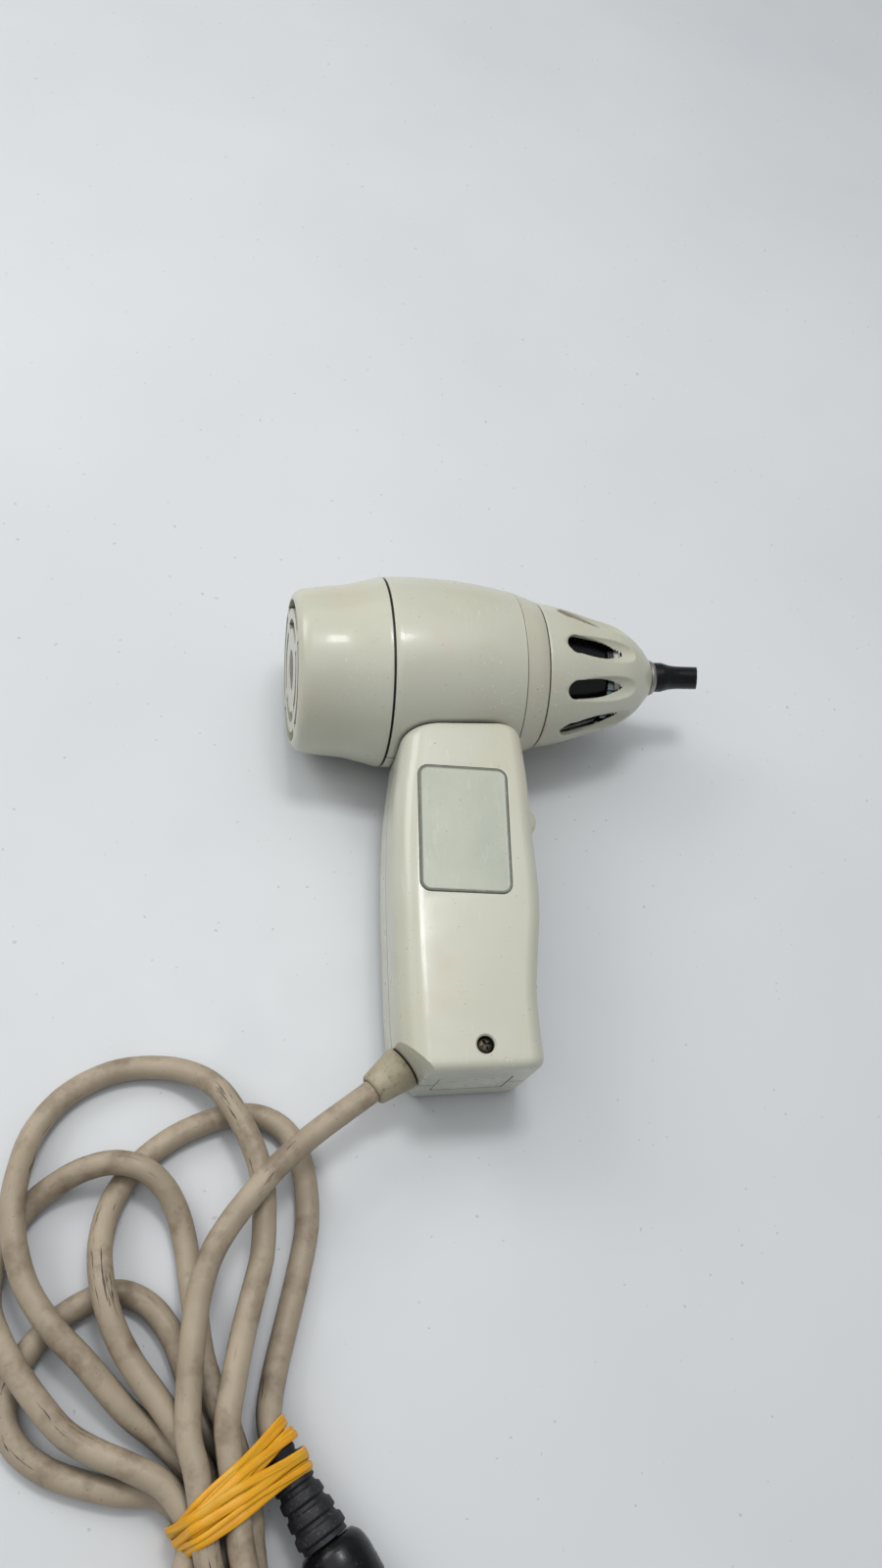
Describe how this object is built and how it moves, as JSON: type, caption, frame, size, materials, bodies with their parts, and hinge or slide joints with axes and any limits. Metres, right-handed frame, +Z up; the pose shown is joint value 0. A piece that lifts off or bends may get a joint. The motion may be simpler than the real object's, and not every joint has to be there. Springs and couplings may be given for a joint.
{
  "type": "curing light gun",
  "caption": "Pistol-shaped light-curing hand tool with a rear intake, vented nose, short black light guide, trigger grip and a banded beige lead ending in a round connector",
  "frame": {"origin": "centre of the bottom of the tool's own bounding box, without its lead, as the tool lies on its side on a flat surface", "axes": "+X along the barrel from the intake to the light guide, +Y up the grip from its end to the barrel, +Z up from the surface"},
  "size_m": [0.2271, 0.3548, 0.0621],
  "materials": {
    "ivory": "moulded ivory plastic, scuffed, slightly glossy",
    "ivory_dark": "moulded ivory plastic, slightly yellowed",
    "black": "black moulded plastic",
    "rubber": "black soft rubber",
    "beige": "beige flexible sheath with grime",
    "steel": "bright steel",
    "aluminium": "bare aluminium",
    "brass": "contact pins",
    "glass": "clear glass",
    "mirror": "coated reflector",
    "ceramic": "white ceramic",
    "board": "green circuit board",
    "plate": "blank grey-green label plate with a dark border",
    "sticker": "blank sticker",
    "mesh": "fine intake mesh",
    "blue": "blue relay case",
    "band": "amber rubber band"
  },
  "bodies": {
    "tool": {"housing_right": "ivory", "housing_left": "ivory", "label_plate": "plate", "rating_sticker": "sticker", "housing_screw_1": "steel", "housing_screw_2": "steel", "housing_screw_3": "steel", "rear_cap": "ivory", "intake_mesh": "mesh", "fan_motor": "steel", "fan_bracket": "aluminium", "lamp_reflector": "mirror", "lamp_capsule": "glass", "lamp_socket": "ceramic", "lamp_bracket": "aluminium", "front_collar": "ivory_dark", "nose_cone": "ivory", "heat_filter": "glass", "filter_seat": "aluminium", "nose_ring": "aluminium", "trigger_spring": "steel", "trigger_switch": "black", "timer_board": "board", "timer_relay": "blue", "sounder": "black", "terminal_block": "board", "lead_clamp": "black", "strain_relief": "beige", "lead_start": "beige", "lead_loop_1": "beige", "lead_loop_2": "beige", "lead_loop_3": "beige", "lead_loop_4": "beige", "lead_hank": "beige", "lead_tie": "band", "connector_relief": "rubber", "connector_body": "black", "connector_insert": "black"},
    "fan": {"fan_rotor": "black"},
    "trigger": {"trigger": "ivory_dark"},
    "guide": {"light_guide": "black", "guide_core": "glass"},
    "lock_ring": {"connector_ring": "black"}
  },
  "joints": [
    {"name": "fan_spin", "type": "hinge", "parent": "tool", "child": "fan", "pos_m": [-0.06217, 0.0534, 0.03106], "axis": [1, 0, 0], "continuous": true},
    {"name": "trigger_press", "type": "slide", "parent": "tool", "child": "trigger", "axis": [-1, 0, 0], "range_m": [0, 0.0025], "stiffness_N_per_m": 800, "springref_m": -0.001, "deforming": ["trigger_spring"]},
    {"name": "guide_swivel", "type": "hinge", "parent": "tool", "child": "guide", "pos_m": [0.04823, 0.0538, 0.0311], "axis": [1, 0, 0], "continuous": true},
    {"name": "lock_ring_turn", "type": "hinge", "parent": "tool", "child": "lock_ring", "pos_m": [-0.05735, -0.21596, 0.0106], "axis": [0.4695, -0.8829, 0], "continuous": true}
  ]
}
